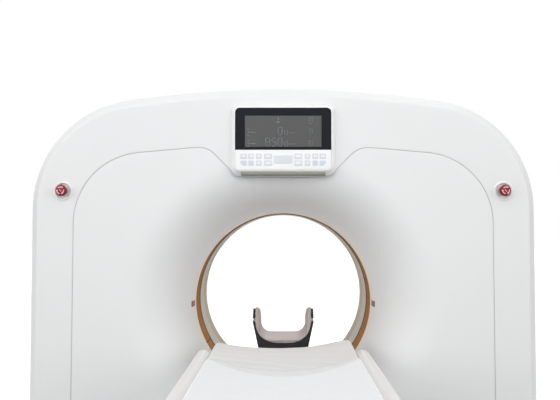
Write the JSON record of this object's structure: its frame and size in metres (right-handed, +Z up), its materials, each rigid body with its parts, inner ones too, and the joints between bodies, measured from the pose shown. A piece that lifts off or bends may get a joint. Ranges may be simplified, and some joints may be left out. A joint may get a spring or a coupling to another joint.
{
  "type": "ct scanner",
  "caption": "Fixed-gantry medical scanner: ring rotor turns inside a covered bore while a lifting table runs its cradle and head holder through it",
  "frame": {"origin": "on the floor straight below the isocentre, where the bore's axis meets the scan plane; it is also the centre of the gantry's four floor anchors", "axes": "+Z up, +Y along the bore from the patient table towards the gantry's rear, +X to the right seen from the table"},
  "size_m": [1.824, 3.052, 1.8],
  "materials": {
    "cover_white": "satin moulded cover",
    "housing_white": "satin",
    "liner_white": "satin",
    "plinth_grey": "matte",
    "tinted_window": "translucent amber, polished",
    "laser_window_tint": "polished",
    "collar_white": "satin",
    "stop_red": "satin gloss",
    "shaft_black": "matte",
    "display_black": "gloss",
    "display_grey": "unlit liquid crystal",
    "keypad_white": "satin membrane",
    "key_blue": "satin",
    "frame_steel": "powder coat",
    "bearing_steel": "ground",
    "drum_aluminium": "machined",
    "slip_brass": "machined",
    "belt_rubber": "matte",
    "motor_black": "satin",
    "pulley_steel": "machined",
    "tube_grey": "cast",
    "unit_grey": "cast",
    "weight_iron": "cast",
    "pad_plastic": "matte",
    "table_white": "white powder coat",
    "skirt_white": "white powder coat",
    "cradle_white": "lacquered carbon laminate",
    "mattress_cloth": "wrinkled coated cloth over foam",
    "sheet_white": "smooth white cloth",
    "holder_black": "moulded carbon, satin",
    "pad_mauve": "coated foam"
  },
  "bodies": {
    "gantry": {"front_fascia": "cover_white", "front_funnel_cover": "cover_white", "rear_fascia": "cover_white", "rear_funnel_cover": "cover_white", "side_cover_left": "cover_white", "side_cover_right": "cover_white", "top_cover": "cover_white", "plinth_cover": "plinth_grey", "scan_window_ring": "tinted_window", "bore_liner": "liner_white", "laser_windows": "laser_window_tint", "estop_collars": "collar_white", "display_housing": "housing_white", "display_glass": "display_black", "display_screen": "display_grey", "keypad_overlay": "keypad_white", "gantry_base_frame": "frame_steel", "stator_frame": "frame_steel", "motor_mount_plate": "frame_steel", "drive_motor": "motor_black", "drive_belt": "belt_rubber", "brush_block": "pad_plastic", "lower_skirt": "skirt_white", "column_outer": "frame_steel", "table_base_plate": "frame_steel", "lift_motor": "motor_black", "floor_duct": "plinth_grey"},
    "rotor": {"main_bearing": "bearing_steel", "rotor_drum": "drum_aluminium", "slip_ring": "slip_brass", "xray_tube": "tube_grey", "beam_collimator": "drum_aluminium", "detector_arc": "unit_grey", "high_voltage_generator": "unit_grey", "tube_cooler": "unit_grey", "balance_weights": "weight_iron"},
    "pulley": {"motor_pulley": "pulley_steel"},
    "lift_stage": {"middle_skirt": "skirt_white", "column_middle": "frame_steel"},
    "table": {"table_tray": "table_white", "table_nose_cap": "table_white", "table_foot_cap": "table_white", "slide_rails": "bearing_steel", "glide_pads": "pad_plastic", "upper_skirt": "skirt_white", "column_inner": "frame_steel", "cradle_drive_motor": "motor_black"},
    "cradle": {"cradle_shell": "cradle_white", "cradle_runners": "pad_plastic", "cradle_socket": "cradle_white", "mattress": "mattress_cloth", "sheet": "sheet_white", "head_holder_shell": "holder_black", "head_holder_pad": "pad_mauve", "head_holder_tongue": "holder_black"},
    "start_key": {"start_key": "key_blue"},
    "stop_plunger_left": {"estop_plunger_left": "shaft_black"},
    "stop_head_left": {"estop_head_left": "stop_red"},
    "stop_plunger_right": {"estop_plunger_right": "shaft_black"},
    "stop_head_right": {"estop_head_right": "stop_red"}
  },
  "joints": [
    {"name": "rotor_spin", "type": "hinge", "parent": "gantry", "child": "rotor", "pos_m": [0, 0.085, 1], "axis": [0, 1, 0], "continuous": true},
    {"name": "pulley_spin", "type": "hinge", "parent": "gantry", "child": "pulley", "pos_m": [-0.56, 0.085, 0.268], "axis": [0, 1, 0], "continuous": true},
    {"name": "stage_lift", "type": "slide", "parent": "gantry", "child": "lift_stage", "axis": [0, 0, 1], "range_m": [-0.02, 0.05]},
    {"name": "table_lift", "type": "slide", "parent": "gantry", "child": "table", "axis": [0, 0, 1], "range_m": [-0.04, 0.1]},
    {"name": "cradle_slide", "type": "slide", "parent": "table", "child": "cradle", "axis": [0, 1, 0], "range_m": [-0.2, 1.2]},
    {"name": "stop_push_left", "type": "slide", "parent": "gantry", "child": "stop_plunger_left", "axis": [0, 1, 0], "range_m": [0, 0.005], "stiffness_N_per_m": 800},
    {"name": "stop_twist_left", "type": "hinge", "parent": "stop_plunger_left", "child": "stop_head_left", "pos_m": [-0.784, -0.415, 1.423], "axis": [0, 1, 0], "range_deg": [0, 35], "stiffness_Nm_per_rad": 0.1},
    {"name": "stop_push_right", "type": "slide", "parent": "gantry", "child": "stop_plunger_right", "axis": [0, 1, 0], "range_m": [0, 0.005], "stiffness_N_per_m": 800},
    {"name": "stop_twist_right", "type": "hinge", "parent": "stop_plunger_right", "child": "stop_head_right", "pos_m": [0.784, -0.415, 1.423], "axis": [0, 1, 0], "range_deg": [0, 35], "stiffness_Nm_per_rad": 0.1},
    {"name": "start_key_press", "type": "slide", "parent": "gantry", "child": "start_key", "axis": [0, 1, 0], "range_m": [0, 0.0012], "stiffness_N_per_m": 1500}
  ],
  "couplings": [
    {"joint": "pulley_spin", "follows": "rotor_spin", "ratio": 11.129},
    {"joint": "stage_lift", "follows": "table_lift", "ratio": 0.5}
  ]
}
